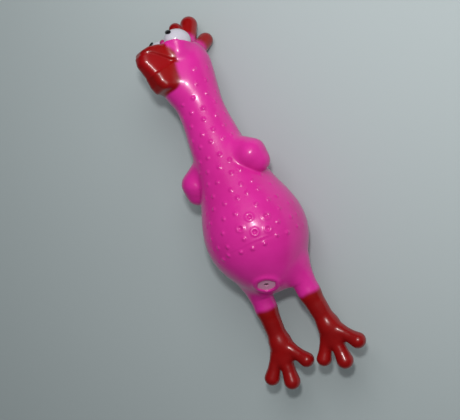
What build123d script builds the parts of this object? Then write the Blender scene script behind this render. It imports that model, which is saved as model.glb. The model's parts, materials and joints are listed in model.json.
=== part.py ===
"""A squeaky rubber chicken, lying on its back: +Z up, belly up, head towards +Y.

The toy is one hollow moulded skin with painted parts and a pressed-in squeaker.
It is made here as the regions that flex, each a rigid piece with a ball end, and
each paint colour is a piece of its own. Lengths are in millimetres.
"""

from build123d import *
import math
import os

# The skin
WALL = 2.0
GAP = 0.3
FLOOR = 0.0

# The torso: two balls along Y at this height, with a cone up to the neck opening
AXIS_Z = 23.2
BELLY_BALL_Y = -18.0
BELLY_BALL_R = 23.85
TAIL_BALL_Y = -37.5
TAIL_BALL_R = 8.5
NECK_OPENING_Y = 21.0
NECK_OPENING_R = 14.0
SEAM_ANGLE = math.radians(30)
BALL_SEAM = 71.0

# The belly's squeeze zone, an oval on top
BELLY_Y = -14.0
BELLY_RX = 12.0
BELLY_RY = 15.0

# The neck: ball centres and radii from the torso to the head
NECK_BASE = Vector(0, 26.5, 23.4)
NECK_BASE_R = 12.5
NECK_MID = Vector(0, 41.0, 23.0)
NECK_MID_R = 10.8
HEAD_BASE = Vector(0, 55.0, 21.8)
HEAD_BASE_R = 11.4
HEAD = Vector(0, 69.0, 20.0)
HEAD_R = 12.4
NECK_BEND = 20.0
RIM_MARGIN = 4.0
PASSAGE_R = 5.0

# The head is turned about the neck, so the beak points up and to -X
HEAD_TURN = 28.0

# The face, as (along the neck, forward, sideways) from the head's centre
EYE = (11.8, 3.6, 7.0)
EYE_R = 5.8
PUPIL = (15.2, 7.0, 8.1)
PUPIL_R = 2.1
UPPER_BEAK_ROOT = (7.5, 7.0, 0)
UPPER_BEAK_ROOT_R = 7.0
UPPER_BEAK_TIP = (11.4, 21.6, 0)
UPPER_BEAK_TIP_R = 2.4
LOWER_BEAK_ROOT = (-1.0, 8.0, 0)
LOWER_BEAK_ROOT_R = 7.0
LOWER_BEAK_TIP = (-1.2, 19.3, 0)
LOWER_BEAK_TIP_R = 4.9
MOUTH_CORNER = (3.8, 8.0)
MOUTH_UPPER_LIP = (11.6, 20.6)
MOUTH_LOWER_LIP = (0.6, 20.6)
MOUTH_WIDTH = 12.0
COMB_LOBES = [
    ((17.8, -4.0, 0), 3.0),
    ((18.0, -12.6, 0), 3.9),
    ((8.9, -18.0, 0), 3.6),
]
COMB_STEM_SHARE = 0.62
COMB_STEM_R = 2.6
COMB_RIDGE_SHARE = 0.86
COMB_RIDGE_R = 2.3

# The wings
WING = Vector(16.9, 16.6, 26.8)
WING_R = 7.0
WING_TIP = Vector(19.6, 12.2, 26.5)
WING_TIP_R = 4.9
WING_TIP_ROOM = 0.8

# The legs
HIP = Vector(11.0, -38.0, 23.0)
HIP_R = 6.2
KNEE = Vector(11.9, -51.5, 22.3)
KNEE_R = 4.7
ANKLE = Vector(13.2, -69.0, 20.5)
ANKLE_R = 4.6
ANKLE_BALL_R = 4.8
HIP_SWING = 20.0
LEG_ROOM_LENGTH = 12.0
LEG_ROOM_MARGIN = 6.0
LEG_ROOM_START = HIP_R + 2 * GAP
TOES = [(10.4, -13.0, -3.5), (1.2, -18.0, -0.8), (-9.5, -12.9, 1.0)]
TOE_ROOT_SHARE = 0.2
TOE_ROOT_R = 3.6
TOE_TIP_R = 3.4

# The squeaker, a plastic plug in the lower belly that faces the feet and upwards
SQUEAKER = Vector(0, -39.2, 36.4)
SQUEAKER_OUT = Vector(0, -0.72, 0.69)
FLANGE_R = 4.8
FLANGE_T = 0.8
BARREL_R = 4.0
BARREL_BORE_R = 3.2
BARREL_LENGTH = 6.5
SOUND_HOLE_R = 1.2
CORE_LENGTH = 4.4
CORE_GROOVE_WIDTH = 2.2
CORE_GROOVE_DEPTH = 1.4
REED_WIDTH = 2.6
REED_LENGTH = 4.0
REED_T = 0.25

SIDES = {"left": -1, "right": 1}
FAR = 200.0


def polar(centre_y, radius, angle):
    """A point of a ball's section, as (radius, height)."""
    return (radius * math.cos(angle), centre_y + radius * math.sin(angle))


def torso_solid(inset):
    """The torso's outer shape, or its hollow when inset is the wall."""
    belly_r = BELLY_BALL_R - inset
    tail_r = TAIL_BALL_R - inset
    opening = (NECK_OPENING_R - inset, NECK_OPENING_Y)
    rise = NECK_OPENING_Y - BELLY_BALL_Y
    reach = math.hypot(opening[0], rise)
    upper = math.atan2(rise, opening[0]) - math.acos(belly_r / reach)
    lower = -math.asin((BELLY_BALL_R - TAIL_BALL_R) / (BELLY_BALL_Y - TAIL_BALL_Y))
    tail_middle = (lower - math.pi / 2) / 2
    belly_middle = (lower + upper) / 2
    tail_end = polar(TAIL_BALL_Y, tail_r, lower)
    belly_start = polar(BELLY_BALL_Y, belly_r, lower)
    belly_end = polar(BELLY_BALL_Y, belly_r, upper)
    bottom = (0, TAIL_BALL_Y - tail_r)
    with BuildSketch(Plane.XZ) as half:
        with BuildLine():
            ThreePointArc(bottom, polar(TAIL_BALL_Y, tail_r, tail_middle), tail_end)
            Line(tail_end, belly_start)
            ThreePointArc(belly_start, polar(BELLY_BALL_Y, belly_r, belly_middle), belly_end)
            Polyline(belly_end, opening, (0, NECK_OPENING_Y), bottom)
        make_face()
    turned = revolve(half.sketch, Axis.Z)
    seam = (math.sin(SEAM_ANGLE), 0, -math.cos(SEAM_ANGLE))
    along_y = Plane(origin=(0, 0, AXIS_Z), x_dir=seam, z_dir=(0, 1, 0))
    return along_y.location * turned


def round_cone(start, start_r, end, end_r):
    """Two balls joined by the cone that touches both."""
    axis = end - start
    length = axis.length
    lean = math.asin((start_r - end_r) / length)
    low = (lean - math.pi / 2) / 2
    high = (lean + math.pi / 2) / 2
    tangent_a = (start_r * math.cos(lean), start_r * math.sin(lean))
    tangent_b = (end_r * math.cos(lean), length + end_r * math.sin(lean))
    middle_a = (start_r * math.cos(low), start_r * math.sin(low))
    middle_b = (end_r * math.cos(high), length + end_r * math.sin(high))
    bottom = (0, -start_r)
    top = (0, length + end_r)
    with BuildSketch(Plane.XZ) as half:
        with BuildLine():
            ThreePointArc(bottom, middle_a, tangent_a)
            Line(tangent_a, tangent_b)
            ThreePointArc(tangent_b, middle_b, top)
            Line(top, bottom)
        make_face()
    turned = Rot(0, 0, BALL_SEAM) * revolve(half.sketch, Axis.Z)
    return Plane(origin=start, z_dir=axis.normalized()).location * turned


def ball(centre, radius):
    return Pos(*centre) * Rot(BALL_SEAM, BALL_SEAM, 0) * Sphere(radius)


def beyond(point, direction):
    """A large block that starts at a plane and goes along direction."""
    block = Box(FAR, FAR, FAR, align=(Align.CENTER, Align.CENTER, Align.MIN))
    return Plane(origin=point, z_dir=direction).location * block


def bore(start, direction, radius, length):
    pin = Cylinder(radius, length, align=(Align.CENTER, Align.CENTER, Align.CENTER))
    return Plane(origin=start, z_dir=direction).location * pin


def on_side(point, side):
    return Vector(point.X * side, point.Y, point.Z)


def neck_direction():
    return (HEAD - NECK_BASE).normalized()


def head_axes():
    """Along the neck, forward and to the toy's left, in the row frame."""
    turn = math.radians(HEAD_TURN)
    ahead = Vector(-math.sin(turn), 0, math.cos(turn))
    left = Vector(-math.cos(turn), 0, -math.sin(turn))
    return Vector(0, 1, 0), ahead, left


def head_point(along, forward, sideways):
    """A point of the face in the row frame."""
    up, ahead, left = head_axes()
    return HEAD + up * along + ahead * forward + left * sideways


def socket(shape, centre, radius, direction, bend):
    """Trim a shape's end so the next piece's ball turns in it."""
    back = radius * math.sin(math.radians(bend + RIM_MARGIN))
    trimmed = shape - beyond(centre - direction * back, direction)
    return trimmed - ball(centre, radius + GAP)


def belly_prism(room):
    """The upright oval cut that frees the squeeze zone."""
    oval = Ellipse(BELLY_RX - room, BELLY_RY - room)
    return Pos(0, BELLY_Y, AXIS_Z) * extrude(oval, FAR)


def leg_room(side):
    """The fan-shaped space that a leg's root sweeps as it swings about X."""
    hip = on_side(HIP, side)
    reach = LEG_ROOM_LENGTH * math.tan(math.radians(HIP_SWING + LEG_ROOM_MARGIN))
    fan = Polyline(
        (0, -LEG_ROOM_START),
        (LEG_ROOM_LENGTH, -KNEE_R - reach),
        (LEG_ROOM_LENGTH, KNEE_R + reach),
        (0, LEG_ROOM_START),
        close=True,
    )
    slab = extrude(make_face(fan), HIP_R + GAP, both=True)
    return Plane(origin=hip, x_dir=(0, -1, 0), z_dir=(1, 0, 0)).location * slab


def wing_room(side):
    root = on_side(WING, side)
    tip = on_side(WING_TIP, side)
    return round_cone(root, WING_R + GAP, tip, WING_TIP_R + WING_TIP_ROOM)


def squeaker_frame():
    return Plane(origin=SQUEAKER, x_dir=(1, 0, 0), z_dir=SQUEAKER_OUT)


def squeaker_solid():
    """The plug's whole outer shape: a flange outside and a barrel inside."""
    flange = Cylinder(FLANGE_R, FLANGE_T)
    barrel = Pos(0, 0, -FLANGE_T / 2 - BARREL_LENGTH / 2) * Cylinder(BARREL_R, BARREL_LENGTH)
    return squeaker_frame().location * (flange + barrel)


def squeaker_seat():
    """What the plug and the way above its flange take out of the skin."""
    above = Pos(0, 0, FLANGE_T) * Cylinder(FLANGE_R, 3 * FLANGE_T)
    return squeaker_solid() + squeaker_frame().location * above


def make_torso():
    skin = torso_solid(0) - torso_solid(WALL)
    skin -= belly_prism(0)
    for side in SIDES.values():
        skin -= ball(on_side(HIP, side), HIP_R + GAP)
        skin -= leg_room(side)
        skin -= wing_room(side)
    skin -= squeaker_seat()
    return skin - beyond((0, 0, FLOOR), (0, 0, -1))


def make_belly():
    return (torso_solid(0) - torso_solid(WALL)) & belly_prism(GAP)


def make_squeaker_body():
    frame = squeaker_frame().location
    hollow = Pos(0, 0, -FLANGE_T / 2 - BARREL_LENGTH / 2) * Cylinder(BARREL_BORE_R, BARREL_LENGTH)
    hole = Cylinder(SOUND_HOLE_R, 4 * FLANGE_T)
    return squeaker_solid() - frame * hollow - frame * hole


def core_middle():
    return -FLANGE_T / 2 - BARREL_LENGTH + CORE_LENGTH / 2


def make_squeaker_core():
    plug = Pos(0, 0, core_middle()) * Cylinder(BARREL_BORE_R, CORE_LENGTH)
    groove_y = CORE_GROOVE_DEPTH / 2 - REED_T
    groove = Pos(0, groove_y, core_middle()) * Box(
        CORE_GROOVE_WIDTH, CORE_GROOVE_DEPTH, CORE_LENGTH
    )
    slot = Pos(0, -REED_T / 2, core_middle()) * Box(REED_WIDTH, REED_T, CORE_LENGTH)
    return squeaker_frame().location * (plug - groove - slot)


def make_squeaker_reed():
    strip = Pos(0, -REED_T / 2, core_middle()) * Box(REED_WIDTH, REED_T, REED_LENGTH)
    return squeaker_frame().location * strip


def neck_tube(start, start_r, end, end_r):
    """One hollow length of neck with a ball end and an air passage through it."""
    tube = round_cone(start, start_r, end, end_r)
    tube -= round_cone(start, start_r - WALL, end, end_r - WALL)
    return tube - bore(start, neck_direction(), PASSAGE_R, 3 * start_r)


def make_neck_lower():
    tube = neck_tube(NECK_BASE, NECK_BASE_R, NECK_MID, NECK_MID_R)
    return socket(tube, NECK_MID, NECK_MID_R, neck_direction(), NECK_BEND)


def make_neck_upper():
    tube = neck_tube(NECK_MID, NECK_MID_R, HEAD_BASE, HEAD_BASE_R)
    return socket(tube, HEAD_BASE, HEAD_BASE_R, neck_direction(), 0)


def head_solid():
    return round_cone(HEAD_BASE, HEAD_BASE_R, HEAD, HEAD_R)


def make_head():
    hollow = round_cone(HEAD_BASE, HEAD_BASE_R - WALL, HEAD, HEAD_R - WALL)
    return head_solid() - hollow - bore(HEAD_BASE, neck_direction(), PASSAGE_R, 26)


def upper_beak_solid():
    root = head_point(*UPPER_BEAK_ROOT)
    return round_cone(root, UPPER_BEAK_ROOT_R, head_point(*UPPER_BEAK_TIP), UPPER_BEAK_TIP_R)


def lower_beak_solid():
    root = head_point(*LOWER_BEAK_ROOT)
    return round_cone(root, LOWER_BEAK_ROOT_R, head_point(*LOWER_BEAK_TIP), LOWER_BEAK_TIP_R)


def mouth_solid():
    """The flat wedge that fills the open beak."""
    up, ahead, _ = head_axes()
    plane = Plane(origin=HEAD, x_dir=up, z_dir=up.cross(ahead))
    corners = [MOUTH_CORNER, MOUTH_UPPER_LIP, MOUTH_LOWER_LIP]
    wedge = make_face(Polyline(*corners, close=True))
    return plane.location * extrude(wedge, MOUTH_WIDTH / 2, both=True)


def make_beaks():
    head = head_solid()
    upper = upper_beak_solid() - head
    lower = lower_beak_solid() - head - upper_beak_solid()
    mouth = mouth_solid() - head - upper_beak_solid() - lower_beak_solid()
    return upper, lower, mouth


def make_comb():
    comb = None
    places = [place for place, _ in COMB_LOBES]
    for place, radius in COMB_LOBES:
        stem = head_point(*[v * COMB_STEM_SHARE for v in place])
        lobe = round_cone(stem, COMB_STEM_R, head_point(*place), radius)
        comb = lobe if comb is None else comb + lobe
    for first, second in zip(places, places[1:]):
        start = head_point(*[v * COMB_RIDGE_SHARE for v in first])
        end = head_point(*[v * COMB_RIDGE_SHARE for v in second])
        comb += round_cone(start, COMB_RIDGE_R, end, COMB_RIDGE_R - GAP)
    return comb - head_solid() - beyond((0, 0, FLOOR), (0, 0, -1))


def make_eye(side):
    along, forward, sideways = EYE
    centre = head_point(along, forward, -sideways * side)
    return ball(centre, EYE_R) - head_solid() - upper_beak_solid()


def make_pupil(side):
    along, forward, sideways = PUPIL
    centre = head_point(along, forward, -sideways * side)
    along, forward, sideways = EYE
    eye_centre = head_point(along, forward, -sideways * side)
    return ball(centre, PUPIL_R) - ball(eye_centre, EYE_R) - upper_beak_solid()


def make_wing(side):
    return round_cone(on_side(WING, side), WING_R, on_side(WING_TIP, side), WING_TIP_R)


def make_thigh(side):
    hip = on_side(HIP, side)
    knee = on_side(KNEE, side)
    whole = round_cone(hip, HIP_R, knee, KNEE_R)
    return whole - beyond(knee, (knee - hip).normalized())


def make_shin(side):
    hip = on_side(HIP, side)
    knee = on_side(KNEE, side)
    ankle = on_side(ANKLE, side)
    whole = round_cone(knee, KNEE_R, ankle, ANKLE_R)
    down = (ankle - knee).normalized()
    lower = whole & beyond(knee, (knee - hip).normalized())
    return lower - beyond(ankle, down) - ball(ankle, ANKLE_BALL_R + GAP)


def make_foot(side):
    ankle = on_side(ANKLE, side)
    foot = ball(ankle, ANKLE_BALL_R)
    for across, along, rise in TOES:
        reach = Vector(across * side, along, rise)
        foot += round_cone(ankle + reach * TOE_ROOT_SHARE, TOE_ROOT_R, ankle + reach, TOE_TIP_R)
    return foot


def make_parts():
    upper, lower, mouth = make_beaks()
    parts = {
        "torso_shell": make_torso(),
        "belly_panel": make_belly(),
        "squeaker_body": make_squeaker_body(),
        "squeaker_core": make_squeaker_core(),
        "squeaker_reed": make_squeaker_reed(),
        "neck_lower": make_neck_lower(),
        "neck_upper": make_neck_upper(),
        "head_shell": make_head(),
        "upper_beak": upper,
        "lower_beak": lower,
        "mouth_web": mouth,
        "comb": make_comb(),
    }
    for name, side in SIDES.items():
        parts[f"eye_{name}"] = make_eye(side)
        parts[f"pupil_{name}"] = make_pupil(side)
        parts[f"wing_{name}"] = make_wing(side)
        parts[f"thigh_{name}"] = make_thigh(side)
        parts[f"shin_{name}"] = make_shin(side)
        parts[f"foot_{name}"] = make_foot(side)
    return parts


os.makedirs("parts", exist_ok=True)
for node, shape in make_parts().items():
    export_step(shape, f"parts/{node}.step")
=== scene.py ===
"""A squeaky rubber chicken on its back, seen from above its right side.

The toy's skin is one smooth surface, worked out as a distance field around the
frame's joints, then divided where the joints bend it and where its paint changes.
Lengths are in millimetres until a mesh is made.
"""

import json
import math

import bmesh
import bpy
import numpy as np
import openvdb
from mathutils import Matrix, Vector
from mathutils.kdtree import KDTree


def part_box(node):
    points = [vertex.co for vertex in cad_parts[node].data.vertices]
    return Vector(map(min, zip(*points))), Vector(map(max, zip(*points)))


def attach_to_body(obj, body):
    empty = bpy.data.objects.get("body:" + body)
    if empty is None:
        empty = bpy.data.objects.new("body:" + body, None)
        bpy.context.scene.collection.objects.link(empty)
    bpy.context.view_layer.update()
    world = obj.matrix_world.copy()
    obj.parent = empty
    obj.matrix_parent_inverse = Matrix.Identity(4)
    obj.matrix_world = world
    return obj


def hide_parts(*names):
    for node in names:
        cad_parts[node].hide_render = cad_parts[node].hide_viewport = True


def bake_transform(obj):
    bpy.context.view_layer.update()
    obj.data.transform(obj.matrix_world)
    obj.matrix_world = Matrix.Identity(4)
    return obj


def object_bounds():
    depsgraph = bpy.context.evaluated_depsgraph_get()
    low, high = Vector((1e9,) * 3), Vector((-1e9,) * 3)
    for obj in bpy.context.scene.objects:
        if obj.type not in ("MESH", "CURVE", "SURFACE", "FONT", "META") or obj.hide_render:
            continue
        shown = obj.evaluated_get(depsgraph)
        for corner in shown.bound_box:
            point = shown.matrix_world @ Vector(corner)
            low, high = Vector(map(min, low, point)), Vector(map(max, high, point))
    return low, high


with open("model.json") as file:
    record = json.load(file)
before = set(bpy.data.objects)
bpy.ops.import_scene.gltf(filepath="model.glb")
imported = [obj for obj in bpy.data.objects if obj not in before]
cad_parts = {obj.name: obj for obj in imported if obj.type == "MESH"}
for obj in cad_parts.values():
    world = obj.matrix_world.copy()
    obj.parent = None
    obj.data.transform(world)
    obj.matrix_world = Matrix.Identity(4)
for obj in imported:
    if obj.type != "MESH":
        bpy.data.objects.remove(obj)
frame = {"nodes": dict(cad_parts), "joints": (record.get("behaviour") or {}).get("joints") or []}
CAD_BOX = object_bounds()
MM = 0.001

JOINTS = {joint["name"]: joint for joint in frame["joints"]}


def joint_point(name):
    return np.array(JOINTS[name]["pos_m"]) / MM


def node_box(name):
    low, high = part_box(name)
    return np.array(low) / MM, np.array(high) / MM


# Where the frame puts things, and the sizes that go with them
BELLY_R = 23.85
AXIS_Z = node_box("belly_panel")[1][2] - BELLY_R
NECK_BASE = joint_point("neck_nod")
NECK_MID = joint_point("neck_sway")
HEAD_BASE = joint_point("head_turn")
HEAD_R = 12.4
HEAD_LIFT = 20.0
HEAD = np.array([0.0, node_box("head_shell")[1][1] - HEAD_R, HEAD_LIFT])
HEAD_TURN = math.radians(28)
HIP = joint_point("leg_right_swing")
ANKLE = joint_point("foot_right_flex")
SIDES = {"left": -1, "right": 1}

# The body's outline: (Y, radius) round an axis whose height is (Y, Z)
OUTLINE = [
    (-43.5, 9.3), (-39.0, 14.6), (-32.0, 19.6), (-25.0, 22.9), (-18.0, 24.3), (-11.0, 23.95),
    (-4.0, 22.1), (3.0, 19.4), (12.0, 16.4), (20.0, 14.2), (26.5, 12.9), (33.0, 12.1),
    (40.0, 11.2), (48.0, 10.9), (55.0, 11.6), (62.0, 12.3), (69.0, 12.5), (75.0, 10.9),
]
TAIL_Y = -46.0
CROWN_Y = float(HEAD[1] + HEAD_R)
AXIS_HEIGHTS = [
    (TAIL_Y, AXIS_Z), (8.0, AXIS_Z), (NECK_BASE[1], NECK_BASE[2]), (NECK_MID[1], NECK_MID[2]),
    (HEAD_BASE[1], HEAD_BASE[2]), (HEAD[1], HEAD[2]), (CROWN_Y, HEAD[2]),
]

# The eyes, with places as (along the neck, forward, sideways) from the head's centre
EYE = (10.9, 3.0, 7.0)
EYE_SIZE = (5.2, 6.5, 5.5)
EYE_TILT = math.radians(22)
EYE_FINENESS = 5
LID_GROWTH = 0.6
LID_LINE = 8.4
LID_SLOPE = 0.36
LID_STEP = 0.8
LID_STEP_AT = 6.2
LID_STEP_REACH = 0.7
CHEEK = (6.0, 5.2, 6.6)
CHEEK_R = 5.2
PUPIL = (15.6, 7.4, 8.3)
PUPIL_SIZE = (1.2, 2.3, 0.8)
PUPIL_SUNK = 0.3

# The beak's outline and its open mouth's, as (along the neck, forward)
BEAK_OUTLINE = [
    (7.2, 6.0), (8.8, 9.6), (10.2, 14.0), (10.6, 17.5), (10.1, 19.8), (8.8, 21.2), (6.4, 21.8),
    (-1.0, 19.1), (-4.4, 18.6), (-6.7, 17.2), (-7.2, 14.5), (-5.0, 8.0),
]
BEAK_ROUNDING = 2.0
MOUTH_OUTLINE = [
    (2.1, 9.6), (4.6, 12.6), (8.4, 17.3), (10.6, 21.1), (12.0, 26.0), (-1.4, 26.0), (0.1, 17.9),
]
MOUTH_DEPTH = 0.65
MOUTH_SLOPE = 0.1
MOUTH_EDGE = 0.3
FACE_PAINT = [(10.5, 13.0), (8.6, 10.4), (5.6, 9.4), (0.6, 9.2), (0.6, 16.0)]
# Half the beak's width, as (forward, width)
BEAK_WIDTHS = [
    (4.0, 9.2), (7.0, 8.8), (10.0, 8.2), (14.0, 7.2), (18.0, 6.0), (21.0, 4.8), (25.0, 3.0),
]

# The comb's lobes and the throat, as (place from the head's centre, radius)
COMB = [
    ((13.2, 6.0, 0), 1.6), ((17.8, -4.0, 0), 3.1), ((18.2, -12.6, 0), 4.15), ((8.9, -18.2, 0), 3.7),
]
COMB_STEM = 0.55
COMB_PAINT = (13.4, 17.2)
THROAT = ((-8.0, 6.6, 0.0), 8.2)

# The limbs: the wing's balls are (place, radius), and a toe ends in a ball at its tip
WING = [((13.0, 19.2, 26.4), 6.5), ((15.6, 16.4, 27.4), 7.2), ((17.3, 12.6, 27.0), 5.6)]
WING_SKEW = 1.2
WING_CREASE_Y = (13.0, 20.0)
WING_BLENDS = (0.8, 3.6)
KNEE = np.array([11.8, -51.5, 22.3])
THIGH_R = 6.6
SHIN_R = 5.0
ANKLE_R = 4.4
PALM_R = 4.5
WEB_SHARE = 0.5
WEB_R = 3.0
TOES = {
    "right": [(24.0, -79.9, 22.5), (14.2, -86.7, 22.5), (5.0, -82.9, 22.5)],
    "left": [(-23.8, -83.4, 22.5), (-14.9, -88.0, 22.5), (-3.4, -80.6, 22.5)],
}
TOE_ENDS = (3.8, 4.0, 3.6)
TOE_NECKS = (2.9, 3.1, 2.8)
TOE_NECK_SHARE = 0.66

# The squeaker's seat in the skin
SQUEAKER = np.array([0.0, -39.2, 36.4])
SQUEAKER_OUT = np.array([0.0, -0.72, 0.69]) / math.hypot(0.72, 0.69)
FLANGE_R = 4.8
BARREL_R = 4.0
FIT_GAP = 0.05
SEAT_DEPTH = 0.4
OPENING_R = 4.5
OPENING_SQUASH = 1.9
OPENING_TOP = 4.0
BORE_DEPTH = 8.0
BOSS_MARGIN = 0.4
BOSS_DEPTH = 3.0
BOSS_TOP = 0.15

# How softly neighbouring shapes run into each other
BLEND = {
    "hip": 5.0, "knee": 2.0, "ankle": 2.0, "toe_root": 1.6, "knuckle": 1.0, "wing_bend": 1.5,
    "throat": 6.0, "eye": 2.4, "lid_edge": 0.4, "cheek": 2.5, "beak": 2.0, "beak_edge": 3.0,
    "comb": 1.6, "lobe": 1.4, "boss": 3.0, "seat": 0.3, "floor": 0.6,
}

# How finely the skin is meshed, how far its field reaches, and where it meets the floor
VOXEL = 0.5
BAND = 3.0
FLOOR_LIFT = 0.02

# How the body's slope is measured, and what keeps its field finite on its axis
SLOPE_STEP = 0.25
AXIS_SOFTENING = 4.0


def lerp_curve(points, at):
    """A smooth curve through (position, value) points, by cubic Hermite spans."""
    xs = np.array([p[0] for p in points])
    ys = np.array([p[1] for p in points])
    slopes = np.gradient(ys, xs)
    spot = np.clip(at, xs[0], xs[-1])
    i = np.clip(np.searchsorted(xs, spot) - 1, 0, len(xs) - 2)
    width = xs[i + 1] - xs[i]
    t = (spot - xs[i]) / width
    a = (1 + 2 * t) * (1 - t) ** 2 * ys[i] + t * (1 - t) ** 2 * width * slopes[i]
    return a + t * t * (3 - 2 * t) * ys[i + 1] + t * t * (t - 1) * width * slopes[i + 1]


def smooth_union(a, b, k):
    h = np.clip(0.5 + 0.5 * (b - a) / k, 0, 1)
    return b * (1 - h) + a * h - k * h * (1 - h)


def smooth_cut(a, b, k):
    """Field a without the inside of field b."""
    return -smooth_union(-a, b, k)


def smoothstep(low, high, x):
    t = np.clip((x - low) / (high - low), 0, 1)
    return t * t * (3 - 2 * t)


def ball_field(p, centre, radius):
    return np.linalg.norm(p - np.asarray(centre), axis=-1) - radius


def limb_field(p, a, b, ra, rb):
    """Distance to a tapered limb with round ends."""
    a, b = np.asarray(a, float), np.asarray(b, float)
    axis = b - a
    t = np.clip((p - a) @ axis / (axis @ axis), 0, 1)
    centre = a + t[..., None] * axis
    return np.linalg.norm(p - centre, axis=-1) - (ra + t * (rb - ra))


def head_axes():
    ahead = np.array([-math.sin(HEAD_TURN), 0, math.cos(HEAD_TURN)])
    left = np.array([-math.cos(HEAD_TURN), 0, -math.sin(HEAD_TURN)])
    return np.array([0, 1.0, 0]), ahead, left


def head_point(place):
    return HEAD + sum(v * axis for v, axis in zip(place, head_axes()))


def to_head(p):
    return (p - HEAD) @ np.array(head_axes()).T


def body_field(p):
    """The torso, neck and head: round sections along Y."""
    y = p[..., 1]
    squares = [(TAIL_Y, 0.0)] + [(at, r * r) for at, r in OUTLINE] + [(CROWN_Y, 0.0)]
    square = lerp_curve(squares, y)
    rise = lerp_curve(squares, y + SLOPE_STEP) - lerp_curve(squares, y - SLOPE_STEP)
    slope = rise / (2 * SLOPE_STEP)
    beyond = np.maximum(TAIL_Y - y, 0) + np.maximum(y - CROWN_Y, 0)
    across = p[..., 0] ** 2 + (p[..., 2] - lerp_curve(AXIS_HEIGHTS, y)) ** 2
    steepness = np.sqrt(4 * across + slope * slope + AXIS_SOFTENING)
    return (across - square) / steepness + beyond


def mirrored(point, side):
    return np.array([point[0] * side, point[1], point[2]])


def wing_field(p, side):
    skew = np.array([0, WING_SKEW * side, 0])
    balls = [(mirrored(at, side) + skew, radius) for at, radius in WING]
    (root, root_r), (bend, bend_r), (tip, tip_r) = balls
    upper = limb_field(p, root, bend, root_r, bend_r)
    lower = limb_field(p, bend, tip, bend_r, tip_r)
    return smooth_union(upper, lower, BLEND["wing_bend"])


def wing_blend(p):
    """The wing flows into the chest above and folds against it below."""
    share = smoothstep(*WING_CREASE_Y, p[..., 1])
    return WING_BLENDS[0] + (WING_BLENDS[1] - WING_BLENDS[0]) * share


def leg_field(p, side):
    hip, knee, ankle = (mirrored(at, side) for at in (HIP, KNEE, ANKLE))
    thigh = limb_field(p, hip, knee, THIGH_R, SHIN_R)
    shin = limb_field(p, knee, ankle, SHIN_R, ANKLE_R)
    return smooth_union(thigh, shin, BLEND["knee"])


def foot_field(p, name):
    ankle = mirrored(ANKLE, SIDES[name])
    tips = [np.array(tip) for tip in TOES[name]]
    field = ball_field(p, ankle, ANKLE_R)
    for tip, end, neck in zip(tips, TOE_ENDS, TOE_NECKS):
        knuckle = ankle + (tip - ankle) * TOE_NECK_SHARE
        root = limb_field(p, ankle, knuckle, PALM_R, neck)
        field = smooth_union(field, root, BLEND["toe_root"])
        field = smooth_union(field, limb_field(p, knuckle, tip, neck, end), BLEND["knuckle"])
    for first, second in zip(tips, tips[1:]):
        reach = ((first + second) / 2 - ankle) * WEB_SHARE
        web = limb_field(p, ankle, ankle + reach, PALM_R, WEB_R)
        field = smooth_union(field, web, BLEND["toe_root"])
    return field


def comb_field(p):
    field = None
    for place, radius in COMB:
        stem = head_point([v * COMB_STEM for v in place])
        lobe = limb_field(p, stem, head_point(place), radius, radius)
        field = lobe if field is None else smooth_union(field, lobe, BLEND["lobe"])
    return field


def polygon_field(p, corners):
    """Distance from points of a plane to a polygon, negative inside it."""
    nearest = np.full(p.shape[:-1], np.inf)
    flips = np.zeros(p.shape[:-1], int)
    for start, end in zip(corners, corners[1:] + corners[:1]):
        start, edge = np.array(start), np.array(end) - np.array(start)
        rel = p - start
        t = np.clip(rel @ edge / (edge @ edge), 0, 1)
        nearest = np.minimum(nearest, np.linalg.norm(rel - t[..., None] * edge, axis=-1))
        crosses = (rel[..., 1] < 0) != (rel[..., 1] < edge[1])
        turn = edge[0] * rel[..., 1] - edge[1] * rel[..., 0]
        flips += crosses & ((turn > 0) == (edge[1] > 0))
    return np.where(flips % 2 == 1, -nearest, nearest)


def mouth_field(p):
    return polygon_field(to_head(p)[..., :2], MOUTH_OUTLINE)


def beak_field(p):
    """A tapering beak, sunk a little where the web fills its open mouth."""
    place = to_head(p)
    outline = polygon_field(place[..., :2], BEAK_OUTLINE) - BEAK_ROUNDING
    side = np.abs(place[..., 2]) - lerp_curve(BEAK_WIDTHS, place[..., 1])
    depth = MOUTH_DEPTH + MOUTH_SLOPE * (MOUTH_OUTLINE[2][1] - place[..., 1])
    sunk = depth * smoothstep(-MOUTH_EDGE, MOUTH_EDGE, -mouth_field(p))
    return -smooth_union(-outline, -side, BLEND["beak_edge"]) + sunk


def eye_axes():
    """The eye's own axes: its short way up, its long way ahead, and sideways."""
    up, ahead, left = head_axes()
    tall = math.cos(EYE_TILT) * up - math.sin(EYE_TILT) * ahead
    long = math.sin(EYE_TILT) * up + math.cos(EYE_TILT) * ahead
    return tall, long, left


def face_point(place, side):
    """A place of the face on one side of the head."""
    along, forward, sideways = place
    return head_point((along, forward, -sideways * side))


def lid_field(p, side):
    """The eye's lower lid and the cheek under it; the lid's edge has a step."""
    grown = [size + LID_GROWTH for size in EYE_SIZE]
    rel = (p - face_point(EYE, side)) @ (np.array(eye_axes()).T / np.array(grown))
    ball = (np.linalg.norm(rel, axis=-1) - 1) * min(grown)
    place = to_head(p)
    line = LID_LINE + LID_SLOPE * (place[..., 1] - EYE[1])
    step = smoothstep(-LID_STEP_REACH, LID_STEP_REACH, place[..., 1] - LID_STEP_AT)
    line = line + LID_STEP * step
    lid = -smooth_union(-ball, line - place[..., 0], BLEND["lid_edge"])
    cheek = ball_field(p, face_point(CHEEK, side), CHEEK_R)
    return smooth_union(lid, cheek, BLEND["cheek"])


def disc_field(p, radius, low, high, squash=1.0):
    """A round plate between two heights along the squeaker, squashed across X."""
    rel = p - SQUEAKER
    height = rel @ SQUEAKER_OUT
    across = np.hypot(rel[..., 0], squash * (rel @ np.cross(SQUEAKER_OUT, (1.0, 0, 0))))
    slab = np.maximum(low - height, height - high)
    return np.maximum(across - radius, slab)


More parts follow.
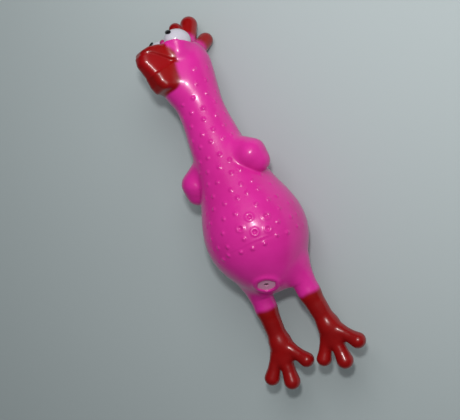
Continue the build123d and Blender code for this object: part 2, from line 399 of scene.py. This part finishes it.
def squeaker_hole(p):
    """The flange's seat, the opening over it and the bore for the barrel."""
    seat = disc_field(p, FLANGE_R + FIT_GAP, -SEAT_DEPTH, FIT_GAP)
    opening = disc_field(p, OPENING_R, -SEAT_DEPTH, OPENING_TOP, OPENING_SQUASH)
    bore = disc_field(p, BARREL_R + FIT_GAP, -BORE_DEPTH, OPENING_TOP)
    return np.minimum(np.minimum(seat, opening), bore)


def skin_field(p):
    """The whole skin's distance field."""
    field = body_field(p)
    for name, side in SIDES.items():
        field = smooth_union(field, leg_field(p, side), BLEND["hip"])
        field = smooth_union(field, foot_field(p, name), BLEND["ankle"])
        field = smooth_union(field, wing_field(p, side), wing_blend(p))
        field = smooth_union(field, lid_field(p, side), BLEND["eye"])
    throat, throat_r = THROAT
    field = smooth_union(field, ball_field(p, head_point(throat), throat_r), BLEND["throat"])
    field = smooth_union(field, beak_field(p), BLEND["beak"])
    field = smooth_union(field, comb_field(p), BLEND["comb"])
    boss = disc_field(p, FLANGE_R + BOSS_MARGIN, -BOSS_DEPTH, BOSS_TOP)
    field = smooth_union(field, boss, BLEND["boss"])
    field = smooth_cut(field, squeaker_hole(p), BLEND["seat"])
    return smooth_cut(field, p[..., 2] - FLOOR_LIFT, BLEND["floor"])


def mesh_field():
    """Vertices (mm) and faces of the skin's surface."""
    low = np.array(CAD_BOX[0]) / MM - BAND
    high = np.array(CAD_BOX[1]) / MM + BAND
    counts = np.ceil((high - low) / VOXEL).astype(int)
    axes = [low[i] + VOXEL * np.arange(counts[i]) for i in range(3)]
    values = np.empty(tuple(counts), np.float32)
    for i, x in enumerate(axes[0]):
        plane = np.stack(np.meshgrid([x], axes[1], axes[2], indexing="ij"), -1)
        values[i] = skin_field(plane)[0]
    grid = openvdb.FloatGrid(BAND)
    grid.copyFromArray(np.clip(values, -BAND, BAND))
    points, triangles, quads = grid.convertToPolygons(0.0, 0.0)
    faces = [list(map(int, face)) for kind in (quads, triangles) for face in kind]
    return points * VOXEL + low, faces


# Where the skin is divided
NECK_CUTS = (24.5, 36.5, 48.0, 61.5)
BELLY_LINE = 37.0
WING_OUT = np.array([0.9, 0.43, 0.0])
WING_LINE = 22.5
LEG_LINE = 50.0
FOOT_LINE = float(ANKLE[1] + 5.5)
PAINT_LINE = float(KNEE[1])
# The left inner toe reaches past the middle, so the sides part beside it
SIDE_LINE = 0.8

# Smaller patches of a piece than this many faces join the piece round them
ISLAND_FACES = 80
LOOSE = "loose"

# The beak's pieces, the nodes they stand for, and how far they reach on the skin
BEAK_PIECES = {"beak_top": "upper_beak", "beak_bottom": "lower_beak", "beak_mouth": "mouth_web"}
BEAK_LEAD = 0.1
BEAK_REACH = 1.5
BEAK_FROM_Y = NECK_CUTS[3] - 6

# The red paint's soft edges: how far each reaches to either side of its line
LEG_PAINT_EDGE = 1.3
LEG_PAINT_WANDER = 0.3
WANDER_PACE = (0.7, 0.4)
COMB_PAINT_EDGE = (-0.3, 0.7)
BEAK_PAINT_EDGE = (-0.2, 1.4)
FACE_PAINT_EDGE = 0.8

# The skin's pimples
PIMPLE_ROW = 5.6
PIMPLE_STEP = 6.0
PIMPLE_R = 1.25
PIMPLE_HEIGHT = 0.58
PIMPLE_STEEPNESS = 1.5
PIMPLE_SIDES = 0.2
PIMPLES_FACE = np.array([0.42, 0.0, 0.91])
PIMPLE_FADE = (0.35, 0.8)
PIMPLE_FROM_Y = -21.0
PIMPLE_TO_Y = 66.0
PIMPLE_SEED = 7
PIMPLE_STRAY_TURN = 0.05
PIMPLE_STRAY_Y = 0.5

# The ringed ones, as (Y, degrees from the top towards +X)
RINGED = [(-8.0, 24), (-10.5, 41), (-16.0, 37), (-15.0, 23), (-11.0, 10)]
RINGED_R = 1.5
RINGED_SPACE = 4.6
RING_WIDTH = 0.55
RING_SHARE = 0.6
DIMPLE_R = 0.8
DIMPLE_SHARE = 0.9

# How near the body's own surface pimples are, and how far from the lids, the seat and the floor
BODY_REACH = 0.25
LID_SPACE = 0.05
SEAT_SPACE = 3.0
FLOOR_SPACE = 1.0

# The belly's crease, by degrees from the top towards +X
CREASE_YS = (-18.6, -19.6)
CREASE_TURNS = (18, 32)
CREASE_HEIGHT = 0.09
CREASE_WIDTH = 0.35
CREASE_WANDER = 0.25
CREASE_WANDER_TURN = 9


def around(y, turn):
    """The point of the body's skin at y, turned about its axis from the top to +X."""
    radius = float(lerp_curve(OUTLINE, y))
    height = float(lerp_curve(AXIS_HEIGHTS, y))
    return np.array([radius * math.sin(turn), y, height + radius * math.cos(turn)])


def pimple_places(rng):
    """Staggered rows round the body, leaving room for the ringed ones."""
    ringed = [around(y, math.radians(turn)) for y, turn in RINGED]
    places = [(at, True) for at in ringed]
    rows = int((PIMPLE_TO_Y - PIMPLE_FROM_Y) / PIMPLE_ROW)
    for row in range(rows + 1):
        y = PIMPLE_FROM_Y + row * PIMPLE_ROW
        count = int(2 * math.pi * float(lerp_curve(OUTLINE, y)) / PIMPLE_STEP)
        for i in range(count):
            turn = 2 * math.pi * (i + 0.5 * (row % 2)) / count + rng.normal(0, PIMPLE_STRAY_TURN)
            at = around(y + rng.normal(0, PIMPLE_STRAY_Y), turn)
            if min(np.linalg.norm(at - other) for other in ringed) > RINGED_SPACE:
                places.append((at, False))
    return places


def crease_lift(points):
    """A faint pair of lines across the belly, where the mould's halves met."""
    x, y, z = points.T
    turn = np.degrees(np.arctan2(x, z - AXIS_Z))
    middle, spread = CREASE_TURNS
    fade = np.exp(-((turn - middle) / spread) ** 4)
    wander = CREASE_WANDER * np.sin(turn / CREASE_WANDER_TURN)
    ridge, groove = (np.exp(-((y - at - wander) / CREASE_WIDTH) ** 2) for at in CREASE_YS)
    return CREASE_HEIGHT * fade * (ridge - groove)


def ring_lift(away):
    """A ring with a sunk middle."""
    ring = math.exp(-((away - RINGED_R) / RING_WIDTH) ** 2)
    dimple = math.exp(-(away / DIMPLE_R) ** 2)
    return PIMPLE_HEIGHT * (RING_SHARE * ring - DIMPLE_SHARE * dimple)


def dome_lift(away, facing):
    """A small dome, which fades round the toy's back."""
    share = PIMPLE_SIDES + (1 - PIMPLE_SIDES) * smoothstep(*PIMPLE_FADE, facing)
    return share * PIMPLE_HEIGHT * (1 - (away / PIMPLE_R) ** 2) ** PIMPLE_STEEPNESS


def raise_pimples(points, normals, on_body):
    """Push the skin out at its pimples and along its crease."""
    places = pimple_places(np.random.default_rng(PIMPLE_SEED))
    tree = KDTree(len(places))
    for i, (at, _) in enumerate(places):
        tree.insert(at, i)
    tree.balance()
    lift = np.zeros(len(points))
    for v in np.flatnonzero(on_body):
        _, i, away = tree.find(points[v])
        if places[i][1]:
            lift[v] = ring_lift(away)
        elif away < PIMPLE_R:
            lift[v] = dome_lift(away, float(normals[v] @ PIMPLES_FACE))
    return points + normals * (lift + crease_lift(points))[:, None]


def surface_normals(points, faces):
    mesh = bpy.data.meshes.new("whole")
    mesh.from_pydata(points.tolist(), [], faces)
    flat = np.zeros(len(points) * 3)
    mesh.vertex_normals.foreach_get("vector", flat)
    bpy.data.meshes.remove(mesh)
    return flat.reshape(-1, 3)


def zone_fields(points):
    """Each zone's own field at the skin's points."""
    plain_body = body_field(points)
    lids = np.minimum(lid_field(points, SIDES["left"]), lid_field(points, SIDES["right"]))
    return {
        "body": np.minimum(plain_body, lids),
        "plain_body": plain_body,
        "comb": comb_field(points),
        "beak": beak_field(points),
        "mouth": mouth_field(points),
    }


def paint_amount(points, zones):
    """0 where the skin is pink and 1 where it is painted red, with a soft edge."""
    x, y, z = points.T
    wander = LEG_PAINT_WANDER * np.sin(WANDER_PACE[0] * x + WANDER_PACE[1] * z)
    leg = smoothstep(-LEG_PAINT_EDGE, LEG_PAINT_EDGE, PAINT_LINE - y + wander)
    comb = smoothstep(*COMB_PAINT_EDGE, zones["body"] - zones["comb"])
    comb = comb * smoothstep(*COMB_PAINT, np.linalg.norm(points - HEAD, axis=1))
    beak = smoothstep(*BEAK_PAINT_EDGE, zones["body"] - zones["beak"])
    into_patch = -polygon_field(to_head(points)[:, :2], FACE_PAINT)
    patch = smoothstep(-FACE_PAINT_EDGE, FACE_PAINT_EDGE, into_patch)
    return np.maximum(np.maximum(leg, comb), np.maximum(beak, patch))


def name_head(names, centres, zones):
    """Name the faces of the beak, its mouth and the comb."""
    y = centres[:, 1]
    nearer = zones["beak"] < zones["body"] - BEAK_LEAD
    on_beak = nearer & (zones["beak"] < BEAK_REACH) & (y > BEAK_FROM_Y)
    above = to_head(centres)[:, 0] > MOUTH_OUTLINE[0][0]
    names[on_beak] = np.where(above, "beak_top", "beak_bottom")[on_beak]
    names[on_beak & (zones["mouth"] < 0)] = "beak_mouth"
    names[(zones["comb"] < zones["body"]) & (y > NECK_CUTS[3])] = "comb_lobes"


def name_limbs(names, centres):
    """Name the faces of the wings, thighs, shins and feet."""
    x, y = centres[:, 0], centres[:, 1]
    side = np.where(x < SIDE_LINE, "left", "right").astype(object)
    out = np.abs(x) * WING_OUT[0] + y * WING_OUT[1]
    wing = (out > WING_LINE) & (y > 0) & (y < NECK_CUTS[0])
    names[wing] = "wing_skin_" + side[wing]
    leg = np.abs(x) - y > LEG_LINE
    for zone, lowest in (("thigh", 0.0), ("shin", PAINT_LINE), ("foot", FOOT_LINE)):
        inside = leg & (y < lowest)
        names[inside] = zone + "_skin_" + side[inside]


def zone_names(centres):
    """The name of the piece that each face of the skin belongs to."""
    y, z = centres[:, 1], centres[:, 2]
    names = np.full(len(centres), "torso_skin", dtype=object)
    names[(z > BELLY_LINE) & (y < NECK_CUTS[0])] = "belly_skin"
    for cut, name in zip(NECK_CUTS, ("neck_root_skin", "neck_skin", "throat_skin", "head_skin")):
        names[y > cut] = name
    name_head(names, centres, zone_fields(centres))
    name_limbs(names, centres)
    return names


def face_neighbours(faces):
    """For each face, the faces that it shares an edge with."""
    owners = {}
    for i, face in enumerate(faces):
        for j in range(len(face)):
            owners.setdefault(frozenset((face[j], face[j - 1])), []).append(i)
    neighbours = [[] for _ in faces]
    for shared in owners.values():
        for i in shared:
            neighbours[i].extend(j for j in shared if j != i)
    return neighbours


def spread_patch(start, neighbours, names, seen):
    """The faces joined to start under its own name, and the names met round them."""
    seen[start] = True
    patch = [start]
    around_it = []
    for i in patch:
        around_it.extend(names[j] for j in neighbours[i] if names[j] != names[i])
        fresh = {j for j in neighbours[i] if names[j] == names[i] and not seen[j]}
        seen[list(fresh)] = True
        patch.extend(fresh)
    return patch, around_it


def join_islands(faces, names):
    """Small patches join the piece that surrounds them, or are loose if nothing does."""
    neighbours = face_neighbours(faces)
    seen = np.zeros(len(faces), bool)
    for start in range(len(faces)):
        if seen[start]:
            continue
        patch, around_it = spread_patch(start, neighbours, names, seen)
        if len(patch) < ISLAND_FACES:
            names[patch] = max(sorted(set(around_it)), key=around_it.count, default=LOOSE)


def added(name, data):
    """A new object in the scene."""
    thing = bpy.data.objects.new(name, data)
    bpy.context.scene.collection.objects.link(thing)
    return thing


def skin_piece(name, points, faces, normals, paint):
    """One piece of the skin, with the whole skin's normals and paint."""
    used, inverse = np.unique(np.concatenate(faces), return_inverse=True)
    lengths = [len(face) for face in faces]
    local = np.split(inverse, np.cumsum(lengths)[:-1])
    mesh = bpy.data.meshes.new(name)
    mesh.from_pydata((points[used] * MM).tolist(), [], [part.tolist() for part in local])
    colour = mesh.attributes.new("paint", "FLOAT", "POINT")
    colour.data.foreach_set("value", paint[used].astype(np.float32))
    mesh.shade_smooth()
    mesh.normals_split_custom_set_from_vertices(normals[used].tolist())
    return added(name, mesh)


def pimpled(points, zones):
    """Where the skin is the body's own, clear of the lids, the seat and the floor."""
    on_body = np.abs(zones["plain_body"]) < BODY_REACH
    off_lids = zones["body"] > zones["plain_body"] - LID_SPACE
    off_seat = np.linalg.norm(points - SQUEAKER, axis=1) > FLANGE_R + SEAT_SPACE
    return on_body & off_lids & off_seat & (points[:, 2] > FLOOR_SPACE)


def make_skin():
    """All the skin's pieces by name, without its loose patches."""
    points, faces = mesh_field()
    normals = surface_normals(points, faces)
    if normals[points[:, 2].argmax()][2] < 0:
        faces = [face[::-1] for face in faces]
        normals = -normals
    zones = zone_fields(points)
    points = raise_pimples(points, normals, pimpled(points, zones))
    normals = surface_normals(points, faces)
    paint = paint_amount(points, zones)
    names = zone_names(np.array([points[face].mean(0) for face in faces]))
    join_islands(faces, names)
    pieces = {}
    for name in sorted(set(names) - {LOOSE}):
        chosen = [faces[i] for i in np.flatnonzero(names == name)]
        pieces[name] = skin_piece(name, points, chosen, normals, paint)
    return pieces


def round_piece(name, centre, axes, sizes):
    """A smooth ellipsoid with its axes along the given directions."""
    mesh = bpy.data.meshes.new(name)
    shape = bmesh.new()
    bmesh.ops.create_icosphere(shape, subdivisions=EYE_FINENESS, radius=1.0)
    shape.to_mesh(mesh)
    shape.free()
    spread = np.array([axis * size * MM for axis, size in zip(axes, sizes)]).T
    turn = Matrix(spread.tolist()).to_4x4()
    mesh.transform(Matrix.Translation(Vector(centre * MM)) @ turn)
    mesh.shade_smooth()
    return added(name, mesh)


def pupil_axes(out):
    """A pupil's short way, its long way along the eye's, and the way out of the eye."""
    long = eye_axes()[1]
    across = np.cross(out, long)
    across = across / np.linalg.norm(across)
    return np.cross(across, out), across, out


def make_eyes():
    """White domes with a black pupil on each."""
    pieces = {}
    for name, side in SIDES.items():
        centre = face_point(EYE, side)
        eyeball = f"eyeball_{name}"
        pieces[eyeball] = round_piece(eyeball, centre, eye_axes(), EYE_SIZE)
        place = face_point(PUPIL, side)
        out = (place - centre) / np.linalg.norm(place - centre)
        dot = f"pupil_dot_{name}"
        pieces[dot] = round_piece(dot, place - out * PUPIL_SUNK, pupil_axes(out), PUPIL_SIZE)
    return pieces


# Colours, as the dark and the light of their mottling
PINK = ((0.58, 0.014, 0.25), (0.66, 0.020, 0.30))
RED = ((0.22, 0.001, 0.0015), (0.285, 0.0015, 0.002))
# Painted shade: the mouth web is the same red vinyl as the beak, and its own red here stands in for
# the shade on its sunk face
MOUTH_SHADE_RED = ((0.24, 0.001, 0.003), (0.30, 0.0015, 0.004))
WHITE = ((0.50, 0.47, 0.54), (0.56, 0.53, 0.60))
BLACK = ((0.005, 0.005, 0.006), (0.008, 0.008, 0.009))
MILKY = ((0.50, 0.14, 0.30), (0.72, 0.32, 0.50))
BRASS = ((0.6, 0.42, 0.16), (0.7, 0.5, 0.2))

# The vinyl's noises, as (scale, detail, roughness), and where they turn dark and light
MOTTLING = (45, 4, 0.55)
PAINT_MOTTLING = (60, 3, 0.55)
MOTTLING_STOPS = (0.35, 0.65)
SMUDGES = (160, 5, 0.6)
SMUDGE_STOPS = (0.3, 0.7)
ORANGE_PEEL = (900, 2, 0.55)
PEEL_STRENGTH = 0.12
PEEL_DEPTH = 0.0003

# The vinyl's gloss: its polish, as its least and greatest roughness, and its clear coat
SKIN_POLISH = (0.3, 0.38)
WHITE_POLISH = (0.16, 0.24)
BLACK_POLISH = (0.12, 0.2)
MILKY_POLISH = (0.25, 0.36)
SKIN_COAT = 0.35
MILKY_COAT = 0.1
COAT_ROUGHNESS = 0.17
SPECULAR = 0.6
IOR = 1.45


def node(tree, kind, **inputs):
    made = tree.nodes.new(kind)
    for key, value in inputs.items():
        made.inputs[key].default_value = value
    return made


def noise(tree, scale, detail, rough):
    place = tree.nodes.new("ShaderNodeTexCoord")
    made = node(tree, "ShaderNodeTexNoise", Scale=scale, Detail=detail, Roughness=rough)
    tree.links.new(place.outputs["Object"], made.inputs["Vector"])
    return made.outputs["Fac"]


def ramp(tree, fac, positions, colours):
    made = tree.nodes.new("ShaderNodeValToRGB")
    for element, position, colour in zip(made.color_ramp.elements, positions, colours):
        element.position = position
        element.color = (*colour, 1)
    tree.links.new(fac, made.inputs["Fac"])
    return made.outputs["Color"]


def mixed(tree, fac, a, b):
    made = tree.nodes.new("ShaderNodeMix")
    made.data_type = "RGBA"
    for key, value in (("Factor", fac), ("A", a), ("B", b)):
        socket = next(i for i in made.inputs if i.name == key and i.enabled)
        tree.links.new(value, socket)
    return next(o for o in made.outputs if o.enabled)


def painted(tree, colour, paint):
    """The colour, with paint over it where the skin's paint attribute is 1."""
    attribute = tree.nodes.new("ShaderNodeAttribute")
    attribute.attribute_name = "paint"
    over = ramp(tree, noise(tree, *PAINT_MOTTLING), MOTTLING_STOPS, paint)
    return mixed(tree, attribute.outputs["Fac"], colour, over)


def vinyl(name, colours, paint=None, polish=SKIN_POLISH, coat=SKIN_COAT):
    """Glossy soft vinyl: mottled colour, uneven polish, a fine orange-peel surface."""
    material = bpy.data.materials.new(name)
    material.use_nodes = True
    tree = material.node_tree
    shader = tree.nodes["Principled BSDF"]
    shader.inputs["Coat Weight"].default_value = coat
    shader.inputs["Coat Roughness"].default_value = COAT_ROUGHNESS
    shader.inputs["Specular IOR Level"].default_value = SPECULAR
    shader.inputs["IOR"].default_value = IOR
    colour = ramp(tree, noise(tree, *MOTTLING), MOTTLING_STOPS, colours)
    if paint:
        colour = painted(tree, colour, paint)
    tree.links.new(colour, shader.inputs["Base Color"])
    greys = [(level, level, level) for level in polish]
    rough = ramp(tree, noise(tree, *SMUDGES), SMUDGE_STOPS, greys)
    tree.links.new(rough, shader.inputs["Roughness"])
    bump = node(tree, "ShaderNodeBump", Strength=PEEL_STRENGTH, Distance=PEEL_DEPTH)
    tree.links.new(noise(tree, *ORANGE_PEEL), bump.inputs["Height"])
    tree.links.new(bump.outputs["Normal"], shader.inputs["Normal"])
    return material


def give_materials(pieces):
    skin = vinyl("pink_and_red_vinyl", PINK, paint=RED)
    own = {
        # The mouth web's separate red is painted shade of its recess, not a different vinyl
        "beak_mouth": vinyl("dark_red_vinyl", MOUTH_SHADE_RED),
        "eyeball": vinyl("white_paint", WHITE, polish=WHITE_POLISH),
        "pupil": vinyl("black_paint", BLACK, polish=BLACK_POLISH),
    }
    for name, piece in pieces.items():
        made = next((own[start] for start in own if name.startswith(start)), skin)
        piece.data.materials.append(made)
    milky = vinyl("milky_plastic", MILKY, polish=MILKY_POLISH, coat=MILKY_COAT)
    brass = vinyl("reed_strip", BRASS)
    squeaker = {"squeaker_body": milky, "squeaker_core": milky, "squeaker_reed": brass}
    for name, made in squeaker.items():
        for spot in frame["nodes"][name].material_slots:
            spot.material = made


def attach_body(pieces):
    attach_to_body(pieces["torso_skin"], "torso")
    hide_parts("torso_shell")
    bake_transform(pieces["belly_skin"])
    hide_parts("belly_panel")


def attach_neck(pieces):
    """Each piece of the neck is baked where it was made, and the neck's nodes are hidden."""
    for i, name in enumerate(("neck_root_skin", "neck_skin", "throat_skin")):
        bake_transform(pieces[name])
    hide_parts("neck_lower")
    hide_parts("neck_upper")


def attach_head(pieces):
    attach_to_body(pieces["head_skin"], "head")
    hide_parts("head_shell")
    for name, cad in BEAK_PIECES.items():
        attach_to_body(pieces[name], "head")
        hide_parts(cad)
    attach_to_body(pieces["comb_lobes"], "head")
    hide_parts("comb")


def attach_eye(pieces, name):
    for piece, cad in ((f"eyeball_{name}", f"eye_{name}"), (f"pupil_dot_{name}", f"pupil_{name}")):
        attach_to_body(pieces[piece], "head")
        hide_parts(cad)


def attach_limbs(pieces, name):
    """One side's wing, leg and foot are baked where they were made, and their nodes hidden."""
    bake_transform(pieces[f"wing_skin_{name}"])
    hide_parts(f"wing_{name}")
    for zone in ("thigh", "shin"):
        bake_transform(pieces[f"{zone}_skin_{name}"])
        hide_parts(f"{zone}_{name}")
    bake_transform(pieces[f"foot_skin_{name}"])
    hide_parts(f"foot_{name}")


def attach(pieces):
    """Each piece rides on its body or is baked in place, and stands for its node."""
    attach_body(pieces)
    attach_neck(pieces)
    attach_head(pieces)
    for name, side in SIDES.items():
        attach_eye(pieces, name)
        attach_limbs(pieces, name)


# The camera: how far it leans to +X, how the toy lies in the picture, and what it sees
LEAN = math.radians(25)
PICTURE_TURN = math.radians(24.2)
CAMERA_DISTANCE = 420.0
VIEW_WIDTH = 215.05
SENSOR_MM = 36.0
CLIP_START = 0.01
BELLY_SPOT = np.array([0.0, -13.0, AXIS_Z])
# The picture's middle from the belly's spot, to the left and up
MIDDLE_LEFT = 10.87
MIDDLE_UP = 7.48

# Lamps, as (place along the camera's axes, size, power)
LAMP = ((-25, 75, 420), 28, 0.74)
SOFT_LAMPS = {
    "ceiling": ((-60, 190, 300), 240, 0.62),
    "window": ((300, 60, 300), 260, 0.2),
}
ROOM_COLOUR = (0.86, 0.94, 0.96, 1)
ROOM_STRENGTH = 0.24

# The table, in metres
TABLE_HALF = 3.0
TABLE_COLOUR = (0.42, 0.47, 0.475, 1)
TABLE_ROUGHNESS = 0.6


def camera_axes():
    """The picture's right and up, and the way back to the camera."""
    back = np.array([math.sin(LEAN), 0, math.cos(LEAN)])
    along = np.array([0, 1.0, 0])
    across = np.cross(along, back)
    right = math.cos(PICTURE_TURN) * across - math.sin(PICTURE_TURN) * along
    up = math.sin(PICTURE_TURN) * across + math.cos(PICTURE_TURN) * along
    return right, up, back


def placed(data, position, axes):
    """A camera or lamp at a position, with its right, up and back along the given axes."""
    thing = added(data.name, data)
    turn = Matrix(np.array(axes).T.tolist()).to_4x4()
    thing.matrix_world = Matrix.Translation(Vector(position * MM)) @ turn
    return thing


def make_camera():
    right, up, back = camera_axes()
    middle = BELLY_SPOT - right * MIDDLE_LEFT + up * MIDDLE_UP
    data = bpy.data.cameras.new("camera")
    data.sensor_width = SENSOR_MM
    data.lens = SENSOR_MM * CAMERA_DISTANCE / VIEW_WIDTH
    data.clip_start = CLIP_START
    bpy.context.scene.camera = placed(data, middle + back * CAMERA_DISTANCE, (right, up, back))


def area_light(name, offset, size, power):
    """A lamp at a place given along the camera's axes, aimed at the belly."""
    position = BELLY_SPOT + sum(v * axis for v, axis in zip(offset, camera_axes()))
    back = position - BELLY_SPOT
    back = back / np.linalg.norm(back)
    right = np.cross([0, 1.0, 0], back)
    right = right / np.linalg.norm(right)
    data = bpy.data.lights.new(name, "AREA")
    data.size = size * MM
    data.energy = power
    return placed(data, position, (right, np.cross(back, right), back))


def make_lights():
    """A small lamp beside the camera makes the highlights; the rest is soft light."""
    area_light("lamp", *LAMP)
    for name, (offset, size, power) in SOFT_LAMPS.items():
        area_light(name, offset, size, power).visible_glossy = False
    scene = bpy.context.scene
    scene.world = bpy.data.worlds.new("soft_room")
    scene.world.use_nodes = True
    background = scene.world.node_tree.nodes["Background"]
    background.inputs["Color"].default_value = ROOM_COLOUR
    background.inputs["Strength"].default_value = ROOM_STRENGTH
    scene.world.cycles_visibility.glossy = False
    scene.view_settings.view_transform = "Standard"


def make_floor():
    mesh = bpy.data.meshes.new("table")
    signs = ((-1, -1), (1, -1), (1, 1), (-1, 1))
    corners = [(x * TABLE_HALF, y * TABLE_HALF, 0) for x, y in signs]
    mesh.from_pydata(corners, [], [(0, 1, 2, 3)])
    floor = added("table", mesh)
    material = bpy.data.materials.new("table")
    material.use_nodes = True
    shader = material.node_tree.nodes["Principled BSDF"]
    shader.inputs["Base Color"].default_value = TABLE_COLOUR
    shader.inputs["Roughness"].default_value = TABLE_ROUGHNESS
    mesh.materials.append(material)


make_camera()
make_lights()
make_floor()
pieces = {**make_skin(), **make_eyes()}
give_materials(pieces)
attach(pieces)
